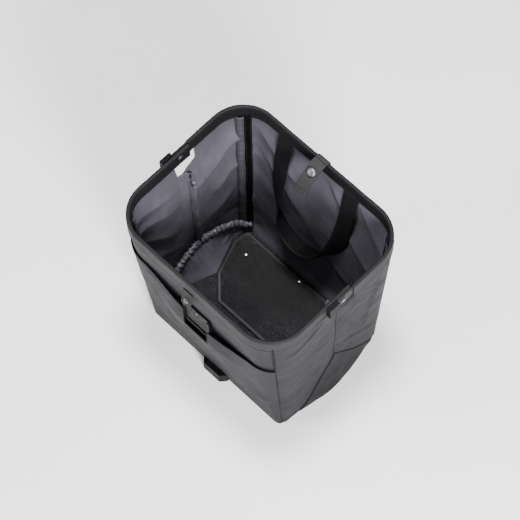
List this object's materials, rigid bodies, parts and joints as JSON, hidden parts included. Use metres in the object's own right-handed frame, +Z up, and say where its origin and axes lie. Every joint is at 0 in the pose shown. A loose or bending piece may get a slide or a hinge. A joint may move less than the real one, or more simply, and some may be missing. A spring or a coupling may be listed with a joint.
{
  "type": "handlebar basket",
  "caption": "Folding fabric bicycle basket with a hinged flat-bar rim, a folding floor, webbing handles, a closure strap and a handlebar mounting plate.",
  "frame": {"origin": "on the ground plane under the middle of the outline in plan, with the basket standing on the lower edges of its walls", "axes": "+X along the long side, -Y towards the bicycle (the side with the pocket and the handlebar plate), +Z up"},
  "size_m": [0.355, 0.302, 0.3641],
  "materials": {
    "shell_fabric": "dark grey woven polyester, matt, coated inside",
    "lining_fabric": "grey coated lining with a faint sheen",
    "sleeve_fabric": "dark grey woven fabric, folded and stitched",
    "binding": "ribbed seam binding tape",
    "webbing": "black polypropylene webbing",
    "stiffener": "black grained board",
    "black_plastic": "moulded black plastic, lightly textured",
    "rivet_metal": "bright steel",
    "dark_metal": "gunmetal, polished",
    "frame_steel": "black painted flat steel"
  },
  "bodies": {
    "root": {"rear_wall_shell": "shell_fabric", "rear_wall_board": "stiffener", "rear_wall_lining": "lining_fabric", "rear_pocket_panel": "shell_fabric", "handlebar_plate": "black_plastic", "plate_screw_lower": "rivet_metal", "plate_screw_upper": "rivet_metal", "lower_spacer": "black_plastic", "left_rear_side_shell": "shell_fabric", "left_rear_side_lining": "lining_fabric", "left_rear_corner_binding": "binding", "left_rear_elastic_channel": "lining_fabric", "left_rear_floor_gusset": "lining_fabric", "right_rear_side_shell": "shell_fabric", "right_rear_side_lining": "lining_fabric", "right_rear_corner_binding": "binding", "right_rear_elastic_channel": "lining_fabric", "right_rear_floor_gusset": "lining_fabric"},
    "tab": {"snap_tab": "webbing", "snap_stud": "dark_metal"},
    "rear_frame": {"rear_frame_bar": "frame_steel", "rear_frame_sleeve": "sleeve_fabric", "hinge_pin_left": "dark_metal", "hinge_pin_right": "dark_metal", "hinge_washer_left": "black_plastic", "hinge_washer_right": "black_plastic"},
    "front_frame": {"front_frame_bar": "frame_steel", "front_frame_sleeve": "sleeve_fabric", "arm_end_cap_left": "black_plastic", "arm_end_cap_right": "black_plastic", "strap_anchor": "webbing"},
    "front_wall": {"front_wall_shell": "shell_fabric", "front_wall_board": "stiffener", "front_wall_lining": "lining_fabric", "left_front_side_shell": "shell_fabric", "left_front_side_lining": "lining_fabric", "left_front_corner_binding": "binding", "left_front_elastic_channel": "lining_fabric", "left_front_floor_gusset": "lining_fabric", "right_front_side_shell": "shell_fabric", "right_front_side_lining": "lining_fabric", "right_front_corner_binding": "binding", "right_front_elastic_channel": "lining_fabric", "right_front_floor_gusset": "lining_fabric"},
    "rear_floor": {"rear_floor_board": "stiffener", "rear_base_fabric": "shell_fabric"},
    "front_floor": {"front_floor_board": "stiffener", "front_base_fabric": "shell_fabric", "riveted_board": "stiffener", "floor_rivet_left": "rivet_metal", "floor_rivet_middle": "rivet_metal", "floor_rivet_right": "rivet_metal"},
    "rear_loop": {"rear_handle": "webbing"},
    "front_loop": {"front_handle": "webbing"},
    "strap": {"closure_strap": "webbing", "snap_cap": "dark_metal"}
  },
  "joints": [
    {"name": "frame_fold", "type": "hinge", "parent": "root", "child": "rear_frame", "pos_m": [0, -0.1349, 0.349], "axis": [-1, 0, 0], "range_deg": [0, 76], "deforming": ["left_rear_side_shell", "left_rear_side_lining", "left_rear_corner_binding", "left_rear_elastic_channel", "left_rear_floor_gusset", "left_front_side_shell", "left_front_side_lining", "left_front_corner_binding", "left_front_elastic_channel", "left_front_floor_gusset", "right_rear_side_shell", "right_rear_side_lining", "right_rear_corner_binding", "right_rear_elastic_channel", "right_rear_floor_gusset", "right_front_side_shell", "right_front_side_lining", "right_front_corner_binding", "right_front_elastic_channel", "right_front_floor_gusset", "rear_frame_sleeve", "front_frame_sleeve", "closure_strap", "rear_handle", "front_handle"]},
    {"name": "front_frame_fold", "type": "hinge", "parent": "rear_frame", "child": "front_frame", "pos_m": [0, 0.0054, 0.349], "axis": [1, 0, 0], "range_deg": [0, 153]},
    {"name": "front_wall_fold", "type": "hinge", "parent": "front_frame", "child": "front_wall", "pos_m": [0, 0.1457, 0.349], "axis": [-1, 0, 0], "range_deg": [0, 69]},
    {"name": "rear_floor_fold", "type": "hinge", "parent": "root", "child": "rear_floor", "pos_m": [0, -0.0981, 0.0042], "axis": [1, 0, 0], "range_deg": [0, 70]},
    {"name": "front_floor_fold", "type": "hinge", "parent": "rear_floor", "child": "front_floor", "pos_m": [0, 0.0054, 0.02404], "axis": [-1, 0, 0], "range_deg": [0, 140], "deforming": ["riveted_board"]},
    {"name": "rear_handle_swing", "type": "hinge", "parent": "root", "child": "rear_loop", "pos_m": [0, -0.13032, 0.332], "axis": [1, 0, 0], "range_deg": [0, 170]},
    {"name": "front_handle_swing", "type": "hinge", "parent": "front_wall", "child": "front_loop", "pos_m": [0, 0.14112, 0.332], "axis": [-1, 0, 0], "range_deg": [0, 170]},
    {"name": "closure_strap_lift", "type": "hinge", "parent": "front_frame", "child": "strap", "pos_m": [-0.003, 0.14175, 0.3646], "axis": [-1, 0, 0], "range_deg": [-40, 180]},
    {"name": "snap_tab_lift", "type": "hinge", "parent": "root", "child": "tab", "pos_m": [-0.003, -0.1386, 0.335], "axis": [-1, 0, 0], "range_deg": [0, 90]}
  ],
  "couplings": [
    {"joint": "front_frame_fold", "follows": "frame_fold", "ratio": 2},
    {"joint": "front_wall_fold", "follows": "frame_fold", "ratio": 0.907},
    {"joint": "rear_floor_fold", "follows": "frame_fold", "ratio": 0.919},
    {"joint": "front_floor_fold", "follows": "frame_fold", "ratio": 1.838}
  ]
}
